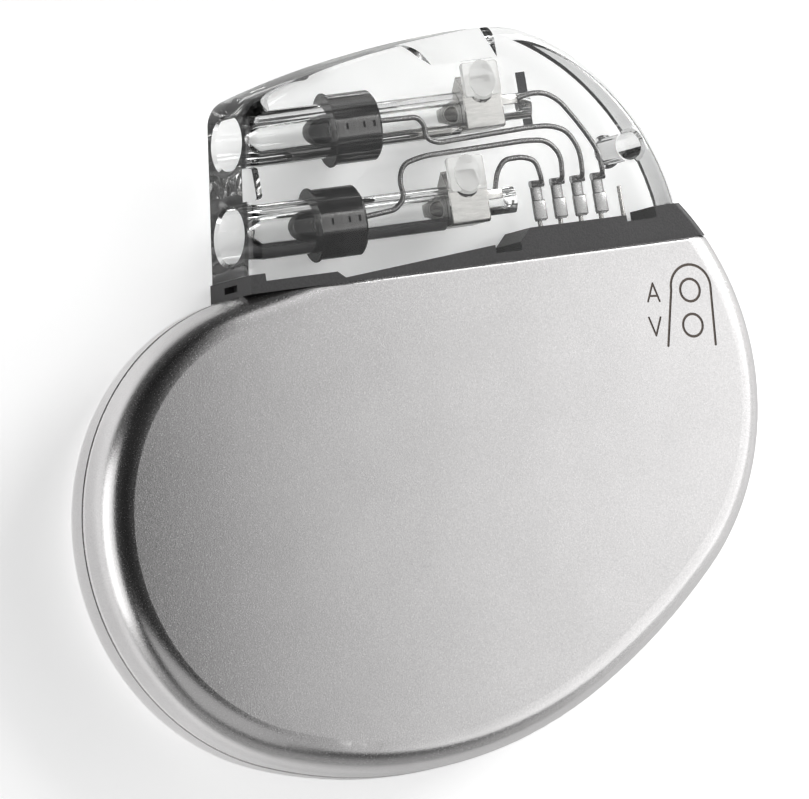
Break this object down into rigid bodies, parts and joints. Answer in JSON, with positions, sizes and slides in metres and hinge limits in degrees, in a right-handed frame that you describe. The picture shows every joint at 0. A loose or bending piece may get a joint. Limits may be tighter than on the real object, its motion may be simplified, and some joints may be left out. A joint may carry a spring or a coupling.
{
  "type": "cardiac pacemaker",
  "caption": "Implantable pulse generator: a flat rounded titanium can with a clear resin header that holds lead ports, contact blocks, set screws and wiring.",
  "frame": {"origin": "on the surface it lies on, under the middle of the whole outline", "axes": "+X along the joint between can and header, towards the ports' closed ends; +Y from the can to the header; +Z out of the front face"},
  "size_m": [0.05, 0.0464, 0.006],
  "materials": {
    "titanium_shell": "fine bead-blasted titanium, satin",
    "weld_titanium": "fine overlapping laser weld on titanium",
    "liner_film": "moulded insulating film",
    "battery_metal": "drawn metal, as drawn",
    "cathode_powder": "pressed dark powder",
    "lithium": "soft rolled metal",
    "seal_glass": "fused sealing glass",
    "pin_metal": "drawn wire, bright",
    "ribbon_nickel": "rolled nickel ribbon",
    "carrier_plastic": "moulded, matt",
    "board_laminate": "solder resist, satin gloss",
    "chip_black": "moulded package, matt",
    "chip_ceramic": "white ceramic package",
    "crystal_can": "plated lid",
    "capacitor_body": "sintered ceramic, satin",
    "coil_copper": "enamelled copper wire, wound",
    "ferrite": "sintered ferrite, matt",
    "getter_pellet": "pressed drying agent",
    "ferrule_titanium": "machined titanium",
    "insulator_ceramic": "alumina, gold brazed at its edges",
    "base_metal": "dark machined titanium",
    "header_resin": "clear cast resin, polished",
    "contact_metal": "turned and polished alloy",
    "screw_metal": "machined alloy, bright",
    "silicone": "translucent silicone",
    "conductor_metal": "drawn wire, bright",
    "tab_metal": "pressed ribbon, bright",
    "marker_metal": "thin pressed plate"
  },
  "bodies": {
    "generator": {"accelerometer": "chip_ceramic", "battery_anode": "lithium", "battery_case": "battery_metal", "battery_cathode": "cathode_powder", "battery_glass_seal": "seal_glass", "battery_lid": "battery_metal", "battery_ribbon_minus": "ribbon_nickel", "battery_ribbon_plus": "ribbon_nickel", "battery_terminal": "pin_metal", "circuit_board": "board_laminate", "conductor_1": "conductor_metal", "conductor_2": "conductor_metal", "conductor_3": "conductor_metal", "conductor_4": "conductor_metal", "crystal": "crystal_can", "electronics_carrier": "carrier_plastic", "feedthrough_ferrule": "ferrule_titanium", "feedthrough_insulator": "insulator_ceramic", "feedthrough_pin_1": "pin_metal", "feedthrough_pin_2": "pin_metal", "feedthrough_pin_3": "pin_metal", "feedthrough_pin_4": "pin_metal", "filter_capacitor": "capacitor_body", "front_liner": "liner_film", "front_shell": "titanium_shell", "getter": "getter_pellet", "ground_pin": "pin_metal", "header_base": "base_metal", "header_body": "header_resin", "magnet_sensor": "chip_black", "memory_chip": "chip_black", "output_capacitors": "capacitor_body", "pacing_chip": "chip_black", "processor_chip": "chip_black", "radiopaque_marker": "marker_metal", "rear_liner": "liner_film", "rear_shell": "titanium_shell", "ring_block_lower": "contact_metal", "ring_block_upper": "contact_metal", "ring_spring_lower": "contact_metal", "ring_spring_upper": "contact_metal", "septum_lower": "silicone", "septum_upper": "silicone", "small_capacitors": "capacitor_body", "telemetry_coil": "coil_copper", "telemetry_core": "ferrite", "tip_block_lower": "contact_metal", "tip_block_upper": "contact_metal", "weld_ring": "weld_titanium", "weld_tab_1": "tab_metal", "weld_tab_2": "tab_metal", "weld_tab_3": "tab_metal", "weld_tab_4": "tab_metal"},
    "upper_screw": {"set_screw_upper": "screw_metal"},
    "lower_screw": {"set_screw_lower": "screw_metal"}
  },
  "joints": [
    {"name": "upper_screw_in", "type": "slide", "parent": "generator", "child": "upper_screw", "axis": [0, -0.6, -0.8], "range_m": [0, 0.0006]},
    {"name": "lower_screw_in", "type": "slide", "parent": "generator", "child": "lower_screw", "axis": [0, -0.6, -0.8], "range_m": [0, 0.0006]}
  ]
}
